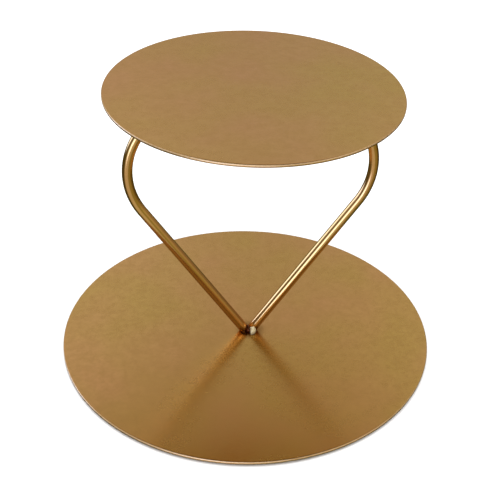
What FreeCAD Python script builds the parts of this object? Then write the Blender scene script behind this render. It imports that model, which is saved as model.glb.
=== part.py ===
import FreeCAD, Part
import math
import os

import Sketcher

# Two-tier cake stand. A large round base plate carries one bent rod, and the rod carries a
# smaller round top plate. The rod is an upside-down rounded triangle: two straight legs rise from
# the middle of the base plate, turn through wide bends and join in a level run under the top plate.
# Millimetres. X lies in the rod's plane, +Z is up, and the origin is the middle of the surface
# that the pads stand on.

OUTPUT_FOLDER = "parts"

# The sign of X on each side of the stand, and of Y at each end.
SIDES = {"left": -1, "right": 1}
ENDS = {"front": -1, "rear": 1}

# Sketcher's codes for the points of a curve and for a sketch's own axes.
START, END, CENTRE = 1, 2, 3
HORIZONTAL_AXIS, VERTICAL_AXIS = -1, -2
ORIGIN = (HORIZONTAL_AXIS, START)

DIMENSIONS = {
    # plates
    "base_diameter": 300.0,
    "top_diameter": 220.0,
    "plate_thickness": 2.5,
    "rim_round": 0.9,
    # height from the base plate's upper face to the top plate's lower face
    "clear_height": 219.5,
    # bent rod
    "rod_diameter": 8.0,
    "bend_radius": 60.0,
    "leg_slope": 56.2,
    "root_gap": 0.5,
    # weld at the rod's two ends
    "nugget_width": 10.0,
    "nugget_depth": 14.0,
    "nugget_height": 7.5,
    "nugget_offset": 2.0,
    # fillet welds under the top plate
    "stitch_length": 14.0,
    "stitch_place": 22.0,
    "stitch_reach": 3.0,
    "stitch_root": 2.0,
    # pads under the base plate
    "pad_diameter": 16.0,
    "pad_thickness": 1.8,
    "pad_round": 0.4,
    "pad_circle_radius": 124.0,
    "adhesive_diameter": 14.0,
    "adhesive_thickness": 0.2,
}

# Sizes shared by several pieces, as sheet expressions.
BASE_UNDERSIDE = "sizes.pad_thickness + sizes.adhesive_thickness"
BASE_TOP = f"{BASE_UNDERSIDE} + sizes.plate_thickness"
TOP_UNDERSIDE = f"{BASE_TOP} + sizes.clear_height"
ROD_RADIUS = "sizes.rod_diameter / 2"
RUN_HEIGHT = f"sizes.clear_height - {ROD_RADIUS}"
SLOPE = "sizes.leg_slope * 1 deg"

document = FreeCAD.newDocument("cake_stand")
sheet = document.addObject("Spreadsheet::Sheet", "sizes")
pieces = []


def fill_sheet():
    """Writes each driving dimension into its own cell and names the cell."""
    for row, (name, value) in enumerate(DIMENSIONS.items(), start=1):
        sheet.set(f"A{row}", name)
        sheet.set(f"B{row}", str(value))
        sheet.setAlias(f"B{row}", name)
    document.recompute()


def size(name):
    """The number in a named cell. Sketches start from it, and their constraints stay bound to
    the cell itself."""
    return float(sheet.get(name))


def piece(kind, name):
    """A new piece of the stand, whose label is its node's name."""
    made = document.addObject(kind, name)
    made.Label = name
    pieces.append(made)
    return made


def sketch_on(body, plane_role, name):
    """A sketch on one of the body's own origin planes."""
    sketch = body.newObject("Sketcher::SketchObject", name)
    plane = next(p for p in body.Origin.OriginFeatures if p.Role == plane_role)
    sketch.AttachmentSupport = (plane, [""])
    sketch.MapMode = "FlatFace"
    return sketch


def constrain(sketch, expression, *constraint):
    """Adds a constraint whose value is bound to the sheet."""
    index = sketch.addConstraint(Sketcher.Constraint(*constraint))
    sketch.setExpression(f"Constraints[{index}]", expression)


def place(thing, x="0", y="0", z="0"):
    """Binds a position to the sheet."""
    for axis, expression in (("x", x), ("y", y), ("z", z)):
        thing.setExpression(f".Placement.Base.{axis}", f"({expression}) * 1 mm")


def flat_circle(x, y, radius):
    """A circle in a sketch's plane."""
    return Part.Circle(FreeCAD.Vector(x, y, 0), FreeCAD.Vector(0, 0, 1), radius)


def line(start, end):
    """A straight line in a sketch's plane, between two pairs of coordinates."""
    return Part.LineSegment(FreeCAD.Vector(*start, 0), FreeCAD.Vector(*end, 0))


def circular_edges(shape):
    """The names of a shape's full-circle edges."""
    return [
        f"Edge{index}"
        for index, edge in enumerate(shape.Edges, start=1)
        if isinstance(edge.Curve, Part.Circle)
    ]


def disc(name, diameter, thickness):
    """A body with one round slab that stands on its local XY plane."""
    body = piece("PartDesign::Body", name)
    outline = sketch_on(body, "XY_Plane", name + "_outline")
    circle = outline.addGeometry(flat_circle(0, 0, size(diameter) / 2))
    outline.addConstraint(Sketcher.Constraint("Coincident", circle, CENTRE, *ORIGIN))
    constrain(outline, f"sizes.{diameter}", "Diameter", circle, size(diameter))
    slab = body.newObject("PartDesign::Pad", name + "_slab")
    slab.Profile = outline
    slab.setExpression("Length", f"sizes.{thickness}")
    document.recompute()
    return body, slab


def soften(body, slab, radius):
    """Rounds every circular edge of a disc."""
    rounding = body.newObject("PartDesign::Fillet", body.Label + "_rounding")
    rounding.Base = (slab, circular_edges(slab.Shape))
    rounding.setExpression("Radius", f"sizes.{radius}")


def make_plates():
    """The two flat plates, with the burr of their cut rims rounded off."""
    for name, diameter, height in (
        ("base_plate", "base_diameter", BASE_UNDERSIDE),
        ("top_plate", "top_diameter", TOP_UNDERSIDE),
    ):
        body, slab = disc(name, diameter, "plate_thickness")
        soften(body, slab, "rim_round")
        place(body, z=height)


def add_rod_path(sketch):
    """Half of the rod's centre line: from the middle of the level run under the top plate, round
    one bend and down one leg. The leg is cut square and stands on its outer corner, so the
    middle of its end is a rod radius times the cosine of the slope above the base plate."""
    slope = math.radians(size("leg_slope"))
    radius = size("rod_diameter") / 2
    bend = size("bend_radius")
    run_height = size("clear_height") - radius
    foot_x = size("root_gap") / 2 + radius * math.sin(slope)
    foot_y = radius * math.cos(slope)
    # the bend's centre is one bend radius below the run and one inside the leg's line
    bend_y = run_height - bend
    leg_top_y = bend_y - bend * math.cos(slope)
    leg_top_x = foot_x + (leg_top_y - foot_y) / math.tan(slope)
    bend_x = leg_top_x - bend * math.sin(slope)

    run = sketch.addGeometry(line((0, run_height), (bend_x, run_height)))
    quarter = math.pi / 2
    arc = sketch.addGeometry(
        Part.ArcOfCircle(flat_circle(bend_x, bend_y, bend), slope - quarter, quarter)
    )
    leg = sketch.addGeometry(line((leg_top_x, leg_top_y), (foot_x, foot_y)))

    sketch.addConstraint(Sketcher.Constraint("PointOnObject", run, START, VERTICAL_AXIS))
    sketch.addConstraint(Sketcher.Constraint("Horizontal", run))
    sketch.addConstraint(Sketcher.Constraint("Tangent", run, END, arc, END))
    sketch.addConstraint(Sketcher.Constraint("Tangent", arc, START, leg, START))
    constrain(sketch, "sizes.bend_radius", "Radius", arc, bend)
    constrain(sketch, RUN_HEIGHT, "DistanceY", *ORIGIN, run, START, run_height)
    foot_reach = f"sizes.root_gap / 2 + {ROD_RADIUS} * sin({SLOPE})"
    constrain(sketch, foot_reach, "DistanceX", *ORIGIN, leg, END, foot_x)
    foot_rise = f"{ROD_RADIUS} * cos({SLOPE})"
    constrain(sketch, foot_rise, "DistanceY", *ORIGIN, leg, END, foot_y)
    constrain(sketch, SLOPE, "Angle", *ORIGIN, leg, END, slope)


def make_support_loop():
    """The bent rod: one half is a pipe along its centre line, the other its mirror image."""
    body = piece("PartDesign::Body", "support_loop")
    path = sketch_on(body, "XZ_Plane", "rod_path")
    add_rod_path(path)
    section = sketch_on(body, "YZ_Plane", "rod_section")
    radius = size("rod_diameter") / 2
    run_height = size("clear_height") - radius
    circle = section.addGeometry(flat_circle(0, run_height, radius))
    section.addConstraint(
        Sketcher.Constraint("PointOnObject", circle, CENTRE, VERTICAL_AXIS)
    )
    constrain(section, RUN_HEIGHT, "DistanceY", *ORIGIN, circle, CENTRE, run_height)
    constrain(section, "sizes.rod_diameter", "Diameter", circle, 2 * radius)
    document.recompute()

    half = body.newObject("PartDesign::AdditivePipe", "rod_half")
    half.Profile = section
    half.Spine = (path, [f"Edge{i}" for i in range(1, len(path.Shape.Edges) + 1)])
    document.recompute()
    whole = body.newObject("PartDesign::Mirrored", "rod_whole")
    whole.Originals = [half]
    middle_plane = next(p for p in body.Origin.OriginFeatures if p.Role == "YZ_Plane")
    whole.MirrorPlane = (middle_plane, [""])
    body.Tip = whole
    place(body, z=BASE_TOP)
    return body


def make_apex_weld(support_loop):
    """The lump of weld metal at the rod's ends: half an ellipsoid, less the rod inside it."""
    lump = document.addObject("Part::Ellipsoid", "weld_lump")
    lump.Angle1 = 0
    lump.setExpression("Radius1", "sizes.nugget_height")
    lump.setExpression("Radius2", "sizes.nugget_width / 2")
    lump.setExpression("Radius3", "sizes.nugget_depth / 2")
    place(lump, x="sizes.nugget_offset", z=BASE_TOP)
    weld = piece("Part::Cut", "apex_weld")
    weld.Base = lump
    weld.Tool = support_loop


def add_fillet_section(sketch):
    """A fillet weld's section. The top plate is above it and the rod's flank beside it. Its
    outer face runs from the plate to the rod's widest point, and its root stays short of the
    line where the rod touches the plate."""
    radius = size("rod_diameter") / 2
    root = size("stitch_root")
    toe = radius + size("stitch_reach")
    root_y = math.sqrt(radius**2 - root**2) - radius
    root_angle = math.acos(root / radius)
    rod_circle = flat_circle(0, -radius, radius)

    plate_side = sketch.addGeometry(line((root, 0), (toe, 0)))
    outer_face = sketch.addGeometry(line((toe, 0), (radius, -radius)))
    rod_side = sketch.addGeometry(Part.ArcOfCircle(rod_circle, 0, root_angle))
    root_face = sketch.addGeometry(line((root, root_y), (root, 0)))
    outline = (
        (plate_side, END, outer_face, START),
        (outer_face, END, rod_side, START),
        (rod_side, END, root_face, START),
        (root_face, END, plate_side, START),
    )
    for corner in outline:
        sketch.addConstraint(Sketcher.Constraint("Coincident", *corner))
    flank = (rod_side, CENTRE, rod_side, START)
    for rule in (
        ("PointOnObject", plate_side, START, HORIZONTAL_AXIS),
        ("Horizontal", plate_side),
        ("Vertical", root_face),
        ("PointOnObject", rod_side, CENTRE, VERTICAL_AXIS),
        ("Horizontal", *flank),
    ):
        sketch.addConstraint(Sketcher.Constraint(*rule))
    constrain(sketch, ROD_RADIUS, "Radius", rod_side, radius)
    constrain(sketch, ROD_RADIUS, "DistanceY", rod_side, CENTRE, *ORIGIN, radius)
    constrain(sketch, "sizes.stitch_root", "DistanceX", *ORIGIN, plate_side, START, root)
    reach = f"{ROD_RADIUS} + sizes.stitch_reach"
    constrain(sketch, reach, "DistanceX", *ORIGIN, plate_side, END, toe)


def make_top_weld(corner, side, end):
    """One short fillet weld between the rod's level run and the top plate."""
    body = piece("PartDesign::Body", f"top_weld_{corner}")
    sketch = sketch_on(body, "YZ_Plane", f"weld_section_{corner}")
    add_fillet_section(sketch)
    bead = body.newObject("PartDesign::Pad", f"weld_bead_{corner}")
    bead.Profile = sketch
    bead.SideType = "Symmetric"
    bead.setExpression("Length", "sizes.stitch_length")
    place(body, x=f"{side} * sizes.stitch_place", z=TOP_UNDERSIDE)
    if end < 0:
        half_turn = FreeCAD.Rotation(FreeCAD.Vector(0, 0, 1), 180)
        body.Placement.Rotation = half_turn


def make_foot(corner, side, end):
    """One anti-slip pad and the adhesive disc that holds it to the base plate."""
    reach = "sizes.pad_circle_radius * sqrt(0.5)"
    x = f"{side} * {reach}"
    y = f"{end} * {reach}"
    pad, slab = disc(f"foot_pad_{corner}", "pad_diameter", "pad_thickness")
    soften(pad, slab, "pad_round")
    place(pad, x, y)
    adhesive, _ = disc(f"pad_adhesive_{corner}", "adhesive_diameter", "adhesive_thickness")
    place(adhesive, x, y, "sizes.pad_thickness")


def check_document():
    """Stops if a feature failed, a sketch has freedom left or a piece isn't one solid."""
    for item in document.Objects:
        if {"Invalid", "Error"} & set(item.State):
            raise RuntimeError(f"{item.Name} failed: {item.State}")
        if item.TypeId == "Sketcher::SketchObject" and not item.FullyConstrained:
            raise RuntimeError(f"{item.Name} isn't fully constrained")
    for made in pieces:
        shape = made.Shape
        if shape.isNull() or not shape.isValid() or len(shape.Solids) != 1:
            raise RuntimeError(f"{made.Label} isn't one valid solid")


def check_rod_volume(support_loop):
    """The rod's volume has to be its section times its centre line's length."""
    tolerance = 1e-3
    length = 2 * document.getObject("rod_path").Shape.Length
    volume = support_loop.Shape.Volume
    expected = length * math.pi * (size("rod_diameter") / 2) ** 2
    print(f"support_loop: {length:.1f} mm long, {volume:.1f} of {expected:.1f} mm3")
    if abs(volume / expected - 1) > tolerance:
        raise RuntimeError("the rod's volume isn't its section times its length")


def write_pieces():
    """Writes one STEP file for each piece."""
    os.makedirs(OUTPUT_FOLDER, exist_ok=True)
    for made in pieces:
        made.Shape.exportStep(os.path.join(OUTPUT_FOLDER, f"{made.Label}.step"))
        print(f"{made.Label}: {made.Shape.Volume:.1f} mm3")


fill_sheet()
make_plates()
rod = make_support_loop()
make_apex_weld(rod)
for end_name, end_sign in ENDS.items():
    for side_name, side_sign in SIDES.items():
        make_top_weld(f"{end_name}_{side_name}", side_sign, end_sign)
        make_foot(f"{end_name}_{side_name}", side_sign, end_sign)
document.recompute()
check_document()
check_rod_volume(rod)
write_pieces()
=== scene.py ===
import math

import bpy
from mathutils import Euler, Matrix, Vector, noise


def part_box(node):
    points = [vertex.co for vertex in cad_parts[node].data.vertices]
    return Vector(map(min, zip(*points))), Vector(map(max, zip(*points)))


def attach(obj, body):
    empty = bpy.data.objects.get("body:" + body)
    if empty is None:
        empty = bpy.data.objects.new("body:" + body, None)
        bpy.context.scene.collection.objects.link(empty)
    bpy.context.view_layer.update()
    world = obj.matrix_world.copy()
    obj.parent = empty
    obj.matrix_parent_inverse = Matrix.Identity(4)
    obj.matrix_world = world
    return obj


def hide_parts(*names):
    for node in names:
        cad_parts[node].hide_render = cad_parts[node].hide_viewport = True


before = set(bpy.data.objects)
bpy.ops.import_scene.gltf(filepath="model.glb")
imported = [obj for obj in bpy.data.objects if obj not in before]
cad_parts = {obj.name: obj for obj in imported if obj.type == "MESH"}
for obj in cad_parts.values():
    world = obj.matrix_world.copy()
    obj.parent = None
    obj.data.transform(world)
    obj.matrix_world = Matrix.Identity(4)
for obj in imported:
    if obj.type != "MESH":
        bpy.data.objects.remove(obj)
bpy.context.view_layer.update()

# ---------------------------------------------------------------- sizes, in metres
MM = 0.001
RIM_ROUND = 0.9 * MM
SHEET_WAVE = 0.06 * MM
BEND_RADIUS = 60 * MM
LEG_SLOPE = math.radians(56.2)
ROD_EDGE_BREAK = 0.35 * MM
FILLET_ROOT = 2.0 * MM
FILLET_BULGE = 0.45 * MM
PAD_ROUND = 0.4 * MM
PAD_HOLLOW = 0.12 * MM

BASE_LOW, BASE_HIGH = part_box("base_plate")
TOP_LOW, TOP_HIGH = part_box("top_plate")
LOOP_LOW, LOOP_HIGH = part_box("support_loop")
WELD_LOW, WELD_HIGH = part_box("apex_weld")
WELD_CENTRE = (WELD_LOW + WELD_HIGH) / 2
ROD_RADIUS = (LOOP_HIGH.y - LOOP_LOW.y) / 2
CORNERS = [f"{end}_{side}" for end in ("front", "rear") for side in ("left", "right")]

# ---------------------------------------------------------------- camera
CAMERA_PLACE = Vector((-99.9, -679.9, 553.5)) * MM
CAMERA_HEADING = math.radians(13.10)
CAMERA_DIP = math.radians(31.60)
CAMERA_ROLL = math.radians(4.36)
CAMERA_LENS_MM = 75.25
CAMERA_SHIFT = (-0.152, -0.0988)


def make_camera():
    """The camera. Its place counts from the middle of the base plate's upper face."""
    data = bpy.data.cameras.new("camera")
    data.lens = CAMERA_LENS_MM
    data.shift_x, data.shift_y = CAMERA_SHIFT
    data.clip_start, data.clip_end = 0.01, 100
    camera = bpy.data.objects.new("camera", data)
    bpy.context.scene.collection.objects.link(camera)
    camera.location = CAMERA_PLACE + Vector((0, 0, BASE_HIGH.z))
    upright = Euler((math.pi / 2 - CAMERA_DIP, 0, -CAMERA_HEADING)).to_matrix()
    rolled = upright @ Euler((0, 0, CAMERA_ROLL)).to_matrix()
    camera.rotation_euler = rolled.to_euler()
    bpy.context.scene.camera = camera


# ---------------------------------------------------------------- meshes
def add_piece(node, points, faces, material, wear_and_highlight=None):
    """A smooth mesh piece that stands for one CAD node and rides with it. wear holds one number
    a point: 1 where the paler worn colour shows, which is real wear on the top welds and a
    painted highlight on the plates' rim shoulders and the apex weld's lump, and 0 where the
    finish is whole."""
    mesh = bpy.data.meshes.new(f"{node}_mesh")
    mesh.from_pydata(points, [], faces)
    mesh.polygons.foreach_set("use_smooth", [True] * len(mesh.polygons))
    mesh.materials.append(material)
    if wear_and_highlight:
        mesh.attributes.new("wear_and_highlight", "FLOAT", "POINT").data.foreach_set("value", wear_and_highlight)
    thing = bpy.data.objects.new(f"{node}_look", mesh)
    bpy.context.scene.collection.objects.link(thing)
    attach(thing, "root")
    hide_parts(node)
    return thing


def ease(value, start, end):
    """0 up to start, 1 from end on, and a smooth step between them."""
    share = min(1, max(0, (value - start) / (end - start)))
    return share**2 * (3 - 2 * share)


def skin_rings(rings, closed_ends=True):
    """Points and faces of a tube through rings that have one count of points each."""
    count = len(rings[0])
    points = [point for ring in rings for point in ring]
    faces = []
    for row in range(len(rings) - 1):
        near, far = row * count, (row + 1) * count
        for i in range(count):
            j = (i + 1) % count
            faces.append((near + i, near + j, far + j, far + i))
    if closed_ends:
        faces.append(tuple(reversed(range(count))))
        faces.append(tuple(range(len(points) - count, len(points))))
    return points, faces


def lathe(profile, around, centre, shift=None):
    """Points and faces of a solid of revolution. The profile runs as (radius, height) pairs from
    the axis on top, round the rim, to the axis below. shift adds a height to each point."""
    rings = []
    for radius, height in profile:
        ring = []
        for i in range(around):
            angle = 2 * math.pi * i / around
            x = centre[0] + radius * math.cos(angle)
            y = centre[1] + radius * math.sin(angle)
            ring.append((x, y, height + (shift(x, y) if shift else 0)))
        rings.append(ring)
    # the first and the last ring have no radius, so each becomes a single point
    points, faces = skin_rings(rings[1:-1], closed_ends=False)
    faces = [face[::-1] for face in faces]
    last_ring = len(points) - around
    top, bottom = len(points), len(points) + 1
    points += [rings[0][0], rings[-1][0]]
    for i in range(around):
        j = (i + 1) % around
        faces.append((top, i, j))
        faces.append((bottom, last_ring + j, last_ring + i))
    return points, faces


def disc_profile(radius, low, high, rounding, rings, rim_steps=8):
    """The lathe profile of a disc with rounded rims. Its rings crowd towards the rim."""
    crowding = 1.6
    flat = radius - rounding
    spread = [1 - (1 - i / rings) ** crowding for i in range(1, rings)]
    profile = [(0, high)]
    profile += [(flat * share, high) for share in spread]
    for corner, start in ((high - rounding, 90), (low + rounding, 0)):
        for step in range(rim_steps + 1):
            angle = math.radians(start - 90 * step / rim_steps)
            out = flat + rounding * math.cos(angle)
            profile.append((out, corner + rounding * math.sin(angle)))
    profile += [(flat * share, low) for share in reversed(spread)]
    profile.append((0, low))
    return profile


def make_plate(node, low, high, material, seed):
    """One sheet-metal disc. It dishes by a few hundredths of a millimetre, as cut sheet does, so
    long reflections in it bend a little. Its rim's upper shoulder is coloured paler, partly as
    wear of the lacquer and partly as a painted highlight; the lower shoulder stays darker."""
    around, rings = 256, 36
    waves_per_metre = 12
    rim_wear_and_highlight_out, rim_wear_and_highlight_up = (0.35, 0.80), (-0.15, 0.35)
    radius = min(high.x, -low.x, high.y, -low.y)

    def wave(x, y):
        place = Vector((x, y, 0)) * waves_per_metre + Vector((seed, seed, seed))
        return -SHEET_WAVE * (0.5 + 0.5 * noise.noise(place))

    profile = disc_profile(radius, low.z + SHEET_WAVE, high.z, RIM_ROUND, rings)
    points, faces = lathe(profile, around, (0, 0), wave)
    middle, half_thick = (low.z + high.z) / 2, (high.z - low.z) / 2
    wear_and_highlight = []
    for x, y, z in points:
        out = (math.hypot(x, y) - radius + RIM_ROUND) / RIM_ROUND
        up = (z - middle) / half_thick
        # The rim's upper shoulder is coloured paler: partly wear, partly a painted highlight
        # along the rim's lit edge.
        wear_and_highlight.append(ease(out, *rim_wear_and_highlight_out) * ease(up, *rim_wear_and_highlight_up))
    add_piece(node, points, faces, material, wear_and_highlight)


def rod_centre_line():
    """Points along the bent rod's centre line, with the direction at each, from the left leg's
    end round the loop to the right leg's end."""
    leg_steps, bend_steps, run_steps = 24, 56, 6
    run_z = LOOP_HIGH.z - ROD_RADIUS
    bend_x = LOOP_HIGH.x - ROD_RADIUS - BEND_RADIUS
    bend_z = run_z - BEND_RADIUS
    foot_z = LOOP_LOW.z + ROD_RADIUS * math.cos(LEG_SLOPE)
    tangent_x = bend_x + BEND_RADIUS * math.sin(LEG_SLOPE)
    tangent_z = bend_z - BEND_RADIUS * math.cos(LEG_SLOPE)
    foot_x = tangent_x - (tangent_z - foot_z) / math.tan(LEG_SLOPE)
    right = []
    for step in range(run_steps):
        x = bend_x * (step + 0.5) / run_steps
        right.append((Vector((x, 0, run_z)), Vector((1, 0, 0))))
    turn = math.pi - LEG_SLOPE
    for step in range(bend_steps + 1):
        angle = math.pi / 2 - turn * step / bend_steps
        arm = Vector((math.cos(angle), 0, math.sin(angle)))
        ahead = Vector((math.sin(angle), 0, -math.cos(angle)))
        right.append((Vector((bend_x, 0, bend_z)) + BEND_RADIUS * arm, ahead))
    down = Vector((-math.cos(LEG_SLOPE), 0, -math.sin(LEG_SLOPE)))
    top, foot = Vector((tangent_x, 0, tangent_z)), Vector((foot_x, 0, foot_z))
    for step in range(1, leg_steps + 1):
        right.append((top.lerp(foot, step / leg_steps), down))
    left = [
        (Vector((-p.x, 0, p.z)), Vector((d.x, 0, -d.z))) for p, d in reversed(right)
    ]
    return left + right


def make_rod(material):
    """The bent rod, with a broken edge round each square-cut end. Its UV map runs round the rod
    and along it, in metres, so that drawing lines follow the bends."""
    around = 64
    side = Vector((0, 1, 0))
    line = rod_centre_line()
    (start, from_start), (end, to_end) = line[0], line[-1]
    shrink = (ROD_RADIUS - ROD_EDGE_BREAK) / ROD_RADIUS
    stations = [(start, from_start, shrink)]
    stations.append((start + from_start * ROD_EDGE_BREAK, from_start, 1.0))
    stations += [(*station, 1.0) for station in line[1:-1]]
    stations.append((end - to_end * ROD_EDGE_BREAK, to_end, 1.0))
    stations.append((end, to_end, shrink))
    rings = []
    for place, ahead, scale in stations:
        out = ahead.cross(side)
        ring = []
        for i in range(around):
            angle = 2 * math.pi * i / around
            arm = side * math.cos(angle) + out * math.sin(angle)
            ring.append(place + arm * ROD_RADIUS * scale)
        rings.append(ring)
    points, faces = skin_rings(rings)
    rod = add_piece("support_loop", points, faces, material)
    travelled = [0.0]
    for before, after in zip(stations, stations[1:]):
        travelled.append(travelled[-1] + (after[0] - before[0]).length)
    uv = rod.data.uv_layers.new(name="along_rod")
    for polygon in rod.data.polygons:
        vertices = [rod.data.loops[i].vertex_index for i in polygon.loop_indices]
        closes_ring = {0, around - 1} <= {vertex % around for vertex in vertices}
        for loop, vertex in zip(polygon.loop_indices, vertices):
            turn = vertex % around
            if closes_ring and turn == 0:
                turn = around
            girth = 2 * math.pi * ROD_RADIUS * turn / around
            uv.data[loop].uv = (girth, travelled[vertex // around])


def make_apex_weld(material):
    """The weld at the rod's ends: a lump under the right leg, coloured cream as a painted
    highlight, and a neck under the left one, coloured dark maroon as painted shade in the hollow
    under the left leg's end, with shallow ripples and a slightly uneven skin. Where the lump
    begins and ends is a share of the weld's half length. On the rear side the lump begins
    further to the right."""
    half = (WELD_HIGH - WELD_LOW) / 2
    height = WELD_HIGH.z - WELD_LOW.z
    around, rings_count = 96, 36
    neck_width, neck_end, lump_start, lump_top = 0.60, -0.32, 0.0, 0.60
    neck_height, lump_rise, top_rise = 0.50, 0.20, 0.25
    rear_setback, rear_start, rear_full = 0.35, 0.1, 0.6
    shoulder_power = 4
    ripple_length, ripple_depth, ripple_bow = 2.2 * MM, 0.10 * MM, 0.12
    unevenness, bumps_per_metre = 0.22 * MM, 220
    edge_fade = 4
    rings, wear_and_highlight = [], []
    for step in range(rings_count):
        share = 1 - step / rings_count
        ring = []
        for i in range(around):
            angle = 2 * math.pi * i / around
            x = half.x * share * math.cos(angle)
            setback = rear_setback * ease(share * math.sin(angle), rear_start, rear_full)
            lump = ease(x / half.x - setback, neck_end, lump_start)
            climb = ease(x / half.x, lump_start, lump_top)
            crest = height * (neck_height + lump_rise * lump + top_rise * climb)
            y = half.y * share * math.sin(angle) * (neck_width + (1 - neck_width) * lump)
            rise = crest * (1 - share**shoulder_power) ** 0.5
            bow = y + ripple_bow * x * x / half.x
            ripple = ripple_depth * math.sin(2 * math.pi * bow / ripple_length)
            rough = unevenness * noise.noise(Vector((x, y, rise)) * bumps_per_metre)
            fade = min(1, edge_fade * (1 - share))
            z = WELD_LOW.z + rise + fade * (ripple + rough)
            ring.append((WELD_CENTRE.x + x, y, z))
            # The lump's share is where the cream painted highlight shows; towards the neck the
            # dark painted shade takes over.
            wear_and_highlight.append(lump)
        rings.append(ring)
    points, faces = skin_rings(rings)
    add_piece("apex_weld", points, faces, material, wear_and_highlight)


def make_top_weld(corner, material):
    """One short fillet weld under the top plate: a rippled bead that tapers at both ends. Its
    section is drawn across the rod and up from the weld's top, then scaled about its heart."""
    low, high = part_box(f"top_weld_{corner}")
    sign = 1 if corner.startswith("rear") else -1
    face_steps, steps = 12, 56
    overlap = 0.05 * MM
    end_scale, added_scale, taper_power = 0.12, 0.84, 3
    ripple_length, ripple_depth = 1.5 * MM, 0.03
    swell_depth, swells_per_metre = 0.04, 300
    light_wear = 0.2
    reach = max(abs(low.y), abs(high.y))
    toe, flank = Vector((reach, overlap)), Vector((ROD_RADIUS, -ROD_RADIUS))
    inner = Vector((0.8 * ROD_RADIUS, -0.55 * ROD_RADIUS))
    heart = Vector((0.85 * ROD_RADIUS, -0.30 * ROD_RADIUS))
    outward = Vector((1, -1)).normalized()
    section = [Vector((FILLET_ROOT, overlap))]
    for step in range(face_steps + 1):
        share = step / face_steps
        belly = FILLET_BULGE * math.sin(math.pi * share)
        section.append(toe.lerp(flank, share) + outward * belly)
    section.append(inner)
    rings = []
    for step in range(steps + 1):
        share = step / steps
        x = low.x + (high.x - low.x) * share
        taper = math.sqrt(max(0, 1 - abs(2 * share - 1) ** taper_power))
        ripple = ripple_depth * abs(math.sin(math.pi * x / ripple_length))
        swell = swell_depth * noise.noise(Vector((x * swells_per_metre, sign, 0)))
        scale = end_scale + (added_scale + swell - ripple) * taper
        ring = []
        for point in section:
            y, z = heart + (point - heart) * scale
            ring.append((x, sign * y, high.z + z))
        rings.append(ring if sign < 0 else ring[::-1])
    points, faces = skin_rings(rings)
    wear_and_highlight = [light_wear] * len(points)
    add_piece(f"top_weld_{corner}", points, faces, material, wear_and_highlight)


def make_foot(corner, rubber, film):
    """One rubber pad with a shallow hollow in its sole, and its adhesive disc."""
    around = 64
    hair = 0.001 * MM
    low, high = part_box(f"foot_pad_{corner}")
    centre = (low + high) / 2
    radius = (high.x - low.x) / 2
    hollow_radius = 0.75 * radius
    profile = []
    for out, height in disc_profile(radius, low.z, high.z, PAD_ROUND, rings=10):
        if height < low.z + hair:
            height += PAD_HOLLOW * max(0, 1 - (out / hollow_radius) ** 2)
        profile.append((out, height))
    points, faces = lathe(profile, around, centre)
    add_piece(f"foot_pad_{corner}", points, faces, rubber)
    low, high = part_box(f"pad_adhesive_{corner}")
    radius = (high.x - low.x) / 2
    thickness = high.z - low.z
    profile = disc_profile(radius, low.z, high.z, thickness / 4, rings=4, rim_steps=3)
    points, faces = lathe(profile, around, centre)
    add_piece(f"pad_adhesive_{corner}", points, faces, film)


# ---------------------------------------------------------------- materials
def rgb(red, green, blue):
    return (red, green, blue, 1.0)


ROSE_GOLD = rgb(0.855, 0.470, 0.178)
OLIVE_GOLD = rgb(0.785, 0.515, 0.132)
DEEP_GOLD = rgb(0.66, 0.380, 0.100)
# The pale gold of worn spots: real wear on the top welds, and a painted highlight on the plates'
# rim shoulders.
PALE_GOLD = rgb(0.85, 0.590, 0.320)
# Painted highlight: the cream of the apex weld's lump.
WELD_LUMP_HIGHLIGHT = rgb(1.0, 0.87, 0.52)
# Painted shade: the dark maroon tones of the apex weld's neck, in the hollow under the left
# leg's end.
WELD_NECK_SHADE_TONES = (rgb(0.16, 0.03, 0.0), rgb(0.12, 0.03, 0.0), rgb(0.08, 0.02, 0.0))
GRAZING_TINT = rgb(0.66, 0.57, 0.50)
# Painted shade: round the apex weld the plate's colour darkens towards this tone, most within 5
# mm and none beyond 15 mm.
WELD_FOOT_SHADE = rgb(0.20, 0.08, 0.0)
WELD_FOOT_SHADE_DEPTH, WELD_FOOT_SHADE_FULL, WELD_FOOT_SHADE_END = 0.8, 5 * MM, 15 * MM


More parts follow.
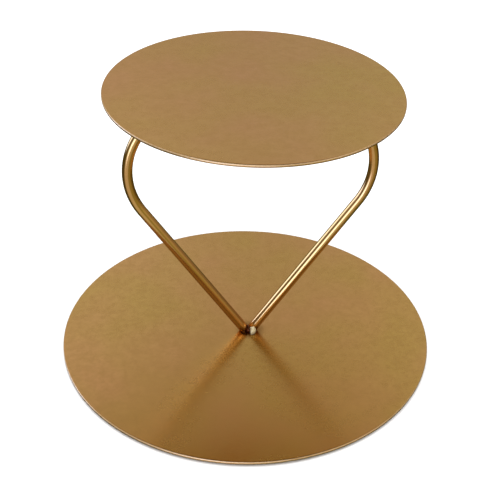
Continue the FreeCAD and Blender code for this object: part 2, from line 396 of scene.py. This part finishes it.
class Nodes:
    """Short calls for building one material's or world's node tree."""

    def __init__(self, owner):
        owner.use_nodes = True
        self.tree = owner.node_tree
        self.tree.nodes.clear()

    def add(self, kind, **settings):
        node = self.tree.nodes.new(kind)
        for name, value in settings.items():
            setattr(node, name, value)
        return node

    def feed(self, socket, value):
        """Links the value to the socket if it is another node's output, or sets it there."""
        if isinstance(value, bpy.types.NodeSocket):
            self.tree.links.new(value, socket)
        else:
            socket.default_value = value

    def maths(self, operation, first, second):
        node = self.add("ShaderNodeMath", operation=operation)
        self.feed(node.inputs[0], first)
        self.feed(node.inputs[1], second)
        return node.outputs[0]

    def spread(self, value, low, high, to_low, to_high, smooth=False):
        """Maps value from the range low..high to the range to_low..to_high."""
        kind = "SMOOTHSTEP" if smooth else "LINEAR"
        node = self.add("ShaderNodeMapRange", interpolation_type=kind)
        for socket, number in zip(node.inputs, (value, low, high, to_low, to_high)):
            self.feed(socket, number)
        return node.outputs[0]

    def noise(self, vector, scale, detail, roughness=0.5):
        node = self.add("ShaderNodeTexNoise")
        self.feed(node.inputs["Vector"], vector)
        node.inputs["Scale"].default_value = scale
        node.inputs["Detail"].default_value = detail
        node.inputs["Roughness"].default_value = roughness
        return node.outputs["Fac"]

    def mix(self, share, first, second, blend="MIX"):
        node = self.add("ShaderNodeMix", data_type="RGBA", blend_type=blend)
        self.feed(node.inputs["Factor"], share)
        self.feed(node.inputs["A"], first)
        self.feed(node.inputs["B"], second)
        return node.outputs["Result"]

    def bump(self, height, distance, strength, normal=None):
        node = self.add("ShaderNodeBump")
        node.inputs["Distance"].default_value = distance
        node.inputs["Strength"].default_value = strength
        self.feed(node.inputs["Height"], height)
        if normal is not None:
            self.feed(node.inputs["Normal"], normal)
        return node.outputs["Normal"]

    def stretch(self, vector, scale):
        node = self.add("ShaderNodeVectorMath", operation="MULTIPLY")
        self.feed(node.inputs[0], vector)
        node.inputs[1].default_value = scale
        return node.outputs[0]


def new_material(name):
    """An empty material with its node tree and the shader that feeds its output."""
    material = bpy.data.materials.new(name)
    nodes = Nodes(material)
    shader = nodes.add("ShaderNodeBsdfPrincipled")
    output = nodes.add("ShaderNodeOutputMaterial")
    nodes.feed(output.inputs["Surface"], shader.outputs["BSDF"])
    return material, nodes, shader


def gold(name, roughness, coat, tones=(ROSE_GOLD, OLIVE_GOLD, DEEP_GOLD),
         wear_and_highlight_colour=PALE_GOLD, wear_and_highlight_metallic=0.75, drawn=False, shaded_round_weld=False):
    """Gold lacquer with metal flake over steel: cloudy tone, fine speckle, orange peel and a
    clear coat. tones are the two that cloud into each other and the one of the speckle. Where
    the wear attribute is up, the worn colour shows, duller and less metallic: real wear on the
    top welds, and a painted highlight on the plates' rim shoulders and on the apex weld's lump.
    drawn adds faint lines along the rod, and the flag after it paints shade on the plate round
    the apex weld."""
    cloud_share, blotch_share, speckle_share = 0.8, 0.2, 0.45
    cloud_roughness, speckle_roughness, worn_roughness = 0.06, 0.025, 0.08
    material, nodes, shader = new_material(name)
    place = nodes.add("ShaderNodeTexCoord").outputs["Object"]
    mirrored = nodes.stretch(place, (-1, 1, 1))
    cloud = nodes.noise(place, scale=11, detail=2)
    blotch = nodes.noise(mirrored, scale=38, detail=2)
    speckle = nodes.noise(place, scale=140, detail=5, roughness=0.9)
    flake = nodes.noise(place, scale=3200, detail=1)
    peel = nodes.noise(place, scale=420, detail=2)

    first_tone, second_tone, speckle_tone = tones
    hue = nodes.maths("ADD", nodes.spread(cloud, 0.34, 0.66, 0.0, cloud_share),
                      nodes.spread(blotch, 0.25, 0.75, 0.0, blotch_share))
    colour = nodes.mix(hue, first_tone, second_tone)
    grain = nodes.spread(speckle, 0.35, 0.65, 0.0, 1.0)
    colour = nodes.mix(nodes.maths("MULTIPLY", grain, speckle_share), colour, speckle_tone)
    # Painted shade round the apex weld: the colour darkens near it, most within 5 mm, none
    # beyond 15 mm.
    if shaded_round_weld:
        away = nodes.add("ShaderNodeVectorMath", operation="DISTANCE")
        nodes.feed(away.inputs[0], place)
        away.inputs[1].default_value = WELD_CENTRE
        weld_foot_shade = nodes.spread(away.outputs["Value"], WELD_FOOT_SHADE_FULL, WELD_FOOT_SHADE_END, WELD_FOOT_SHADE_DEPTH, 0.0,
                             smooth=True)
        colour = nodes.mix(weld_foot_shade, colour, WELD_FOOT_SHADE)
    # Where the wear attribute is up the colour pales to the worn colour: real wear on the top
    # welds, a painted highlight on the plates' rim shoulders and the apex weld's lump.
    wear_and_highlight = nodes.add("ShaderNodeAttribute", attribute_name="wear_and_highlight").outputs["Fac"]
    wear_and_highlight_share = nodes.maths("MULTIPLY", wear_and_highlight, nodes.spread(peel, 0.35, 0.6, 0.7, 1.0))
    colour = nodes.mix(wear_and_highlight_share, colour, wear_and_highlight_colour)
    nodes.feed(shader.inputs["Base Color"], colour)
    nodes.feed(shader.inputs["Metallic"], nodes.spread(wear_and_highlight_share, 0.0, 1.0, 1.0, wear_and_highlight_metallic))
    shader.inputs["Specular Tint"].default_value = GRAZING_TINT

    smoothest, roughest = roughness * (1 - cloud_roughness), roughness * (1 + cloud_roughness)
    rough = nodes.spread(cloud, 0.3, 0.7, smoothest, roughest)
    speckled = nodes.spread(grain, 0.2, 0.8, -speckle_roughness, speckle_roughness)
    rough = nodes.maths("ADD", rough, speckled)
    rough = nodes.maths("ADD", rough, nodes.maths("MULTIPLY", wear_and_highlight_share, worn_roughness))
    nodes.feed(shader.inputs["Roughness"], rough)
    normal = nodes.bump(peel, distance=0.02 * MM, strength=0.35)
    normal = nodes.bump(flake, distance=0.01 * MM, strength=0.25, normal=normal)
    if drawn:
        along = nodes.add("ShaderNodeUVMap", uv_map="along_rod").outputs["UV"]
        lines = nodes.noise(nodes.stretch(along, (1, 0.03, 1)), scale=1500, detail=2)
        normal = nodes.bump(lines, distance=0.01 * MM, strength=0.2, normal=normal)
    nodes.feed(shader.inputs["Normal"], normal)
    shader.inputs["Coat Weight"].default_value = coat
    shader.inputs["Coat Roughness"].default_value = 0.12
    shader.inputs["Coat IOR"].default_value = 1.5
    return material


def plain(name, colour, roughness, grain_scale, grain_depth):
    """A matt material with a fine grain, for the rubber and the adhesive film."""
    darkening, roughness_change = 0.7, 0.08
    material, nodes, shader = new_material(name)
    place = nodes.add("ShaderNodeTexCoord").outputs["Object"]
    grain = nodes.noise(place, grain_scale, detail=3)
    darker = rgb(*(darkening * channel for channel in colour[:3]))
    nodes.feed(shader.inputs["Base Color"], nodes.mix(grain, colour, darker))
    smoothest, roughest = roughness - roughness_change, roughness + roughness_change
    nodes.feed(shader.inputs["Roughness"], nodes.spread(grain, 0.3, 0.7, smoothest, roughest))
    nodes.feed(shader.inputs["Normal"], nodes.bump(grain, grain_depth, strength=0.6))
    return material


# ---------------------------------------------------------------- floor and light
# What the metal reflects of the studio. The tones change between two heights on a scale that
# runs from -1, straight down, to 1, straight up.
FLOOR_TONE = rgb(0.14, 0.14, 0.05)
WALL_TONE = rgb(0.535, 0.515, 0.57)
CEILING_TONE = rgb(0.12, 0.11, 0.10)
FLOOR_TO_WALL = (-0.25, 0.15)
WALL_TO_CEILING = (0.75, 0.95)

# Each patch has an azimuth and an elevation, the angles from there at which it is full and at
# which it ends, all in degrees, and a colour. A screen's colour is the share of the light that
# it lets through, and a soft box's colour is the light that it adds.
SCREENS = (
    ((80, -10, 30, 60), rgb(0.60, 0.50, 0.35)),
    ((-80, -35, 20, 45), rgb(0.58, 0.50, 0.46)),
    ((-109, 7, 6, 15), rgb(0.15, 0.15, 0.12)),
    ((165, 48, 12, 34), rgb(0.35, 0.32, 0.30)),
    ((9, 56, 10, 18), rgb(0.36, 0.24, 0.0)),
    ((13, 34, 4, 9), rgb(0.88, 0.86, 0.81)),
    ((8, 24, 1, 8), rgb(0.90, 0.90, 0.92)),
)
SOFT_BOXES = (
    ((-146, -7, 7, 20), rgb(1.7, 2.2, 4.2)),
    ((-65, 6, 9, 20), rgb(1.4, 1.9, 3.8)),
    ((-172, 4, 8, 18), rgb(1.8, 2.0, 2.8)),
    ((135, -12, 15, 42), rgb(0.17, 0.13, 0.05)),
    ((4, 26, 5, 16), rgb(0.02, 0.03, 0.06)),
    ((18, 25, 4, 12), rgb(0.01, 0.04, 0.05)),
    ((24, 42, 4, 14), rgb(0.10, 0.09, 0.07)),
    ((-10, 41, 4, 15), rgb(0.10, 0.11, 0.09)),
    ((-157, -30, 20, 42), rgb(0.42, 0.37, 0.42)),
    ((10, -43, 15, 35), rgb(0.13, 0.15, 0.0)),
)
EVEN_WHITE = rgb(1.0, 1.0, 1.0)
SUN_STRENGTH = 2.2
SUN_WIDTH = math.radians(60)
SUN_TILT = (math.radians(8), math.radians(-6), 0)


def make_floor():
    """A wide pale floor under the pads. Reflections don't show it."""
    half = 6.0
    mesh = bpy.data.meshes.new("floor_mesh")
    corners = [(-half, -half, 0), (half, -half, 0), (half, half, 0), (-half, half, 0)]
    mesh.from_pydata(corners, [], [(0, 1, 2, 3)])
    material, _, shader = new_material("pale_floor")
    shader.inputs["Base Color"].default_value = rgb(0.9, 0.9, 0.9)
    shader.inputs["Roughness"].default_value = 0.9
    shader.inputs["Specular IOR Level"].default_value = 0.1
    mesh.materials.append(material)
    floor = bpy.data.objects.new("floor", mesh)
    bpy.context.scene.collection.objects.link(floor)
    floor.visible_glossy = False


def towards(azimuth, elevation):
    """The unit vector at these angles in degrees. Azimuth 0 is +Y and 90 is +X."""
    turn, rise = math.radians(azimuth), math.radians(elevation)
    return (math.sin(turn) * math.cos(rise), math.cos(turn) * math.cos(rise), math.sin(rise))


def patch(nodes, direction, azimuth, elevation, full, end):
    """1 within the full angle of a patch's middle, fading to 0 at the end angle."""
    dot = nodes.add("ShaderNodeVectorMath", operation="DOT_PRODUCT")
    nodes.feed(dot.inputs[0], direction)
    dot.inputs[1].default_value = towards(azimuth, elevation)
    edges = math.cos(math.radians(end)), math.cos(math.radians(full))
    return nodes.spread(dot.outputs["Value"], *edges, 0.0, 1.0, smooth=True)


def make_studio():
    """Soft surrounding light. Glossy rays meet the walls, the dimmer floor and ceiling, the
    screens and the soft boxes, and the camera's rays and diffuse rays meet an even white."""
    world = bpy.data.worlds.new("studio")
    bpy.context.scene.world = world
    nodes = Nodes(world)
    direction = nodes.add("ShaderNodeTexCoord").outputs["Generated"]
    split = nodes.add("ShaderNodeSeparateXYZ")
    nodes.feed(split.inputs[0], direction)
    height = split.outputs["Z"]
    walled = nodes.spread(height, *FLOOR_TO_WALL, 0.0, 1.0, smooth=True)
    light = nodes.mix(walled, FLOOR_TONE, WALL_TONE)
    roofed = nodes.spread(height, *WALL_TO_CEILING, 0.0, 1.0, smooth=True)
    light = nodes.mix(roofed, light, CEILING_TONE)
    for blend, patches in (("MULTIPLY", SCREENS), ("ADD", SOFT_BOXES)):
        for place, colour in patches:
            light = nodes.mix(patch(nodes, direction, *place), light, colour, blend)
    path = nodes.add("ShaderNodeLightPath")
    plain_ray = nodes.maths("ADD", path.outputs["Is Camera Ray"], path.outputs["Is Diffuse Ray"])
    light = nodes.mix(plain_ray, light, EVEN_WHITE)
    background = nodes.add("ShaderNodeBackground")
    nodes.feed(background.inputs["Color"], light)
    output = nodes.add("ShaderNodeOutputWorld")
    nodes.feed(output.inputs["Surface"], background.outputs[0])


def make_sun():
    """A broad overhead light that reflections don't show."""
    sun = bpy.data.lights.new("overhead", "SUN")
    sun.energy = SUN_STRENGTH
    sun.angle = SUN_WIDTH
    lamp = bpy.data.objects.new("overhead", sun)
    bpy.context.scene.collection.objects.link(lamp)
    lamp.rotation_euler = SUN_TILT
    lamp.visible_glossy = False


# ---------------------------------------------------------------- the scene
make_camera()
# The plates are painted darker round the apex weld, as shade.
plate_gold = gold("plate_gold", roughness=0.25, coat=0.25, shaded_round_weld=True)
rod_gold = gold("rod_gold", roughness=0.15, coat=0.5, drawn=True)
bead_gold = gold("bead_gold", roughness=0.28, coat=0.6)
# The apex weld: painted shade on the neck, painted highlight on the lump.
weld_painted_light = gold("weld_painted_light", roughness=0.28, coat=0.45, tones=WELD_NECK_SHADE_TONES,
                 wear_and_highlight_colour=WELD_LUMP_HIGHLIGHT, wear_and_highlight_metallic=0.28)
pad_rubber = plain("pad_rubber", rgb(0.03, 0.03, 0.03), roughness=0.75,
                   grain_scale=900, grain_depth=0.03 * MM)
adhesive_film = plain("adhesive_film", rgb(0.75, 0.72, 0.65), roughness=0.55,
                      grain_scale=400, grain_depth=0.01 * MM)

make_plate("base_plate", BASE_LOW, BASE_HIGH, plate_gold, seed=3.1)
make_plate("top_plate", TOP_LOW, TOP_HIGH, plate_gold, seed=7.7)
make_rod(rod_gold)
make_apex_weld(weld_painted_light)
for corner in CORNERS:
    make_top_weld(corner, bead_gold)
    make_foot(corner, pad_rubber, adhesive_film)
make_floor()
make_studio()
make_sun()
bpy.context.scene.view_settings.view_transform = "Standard"
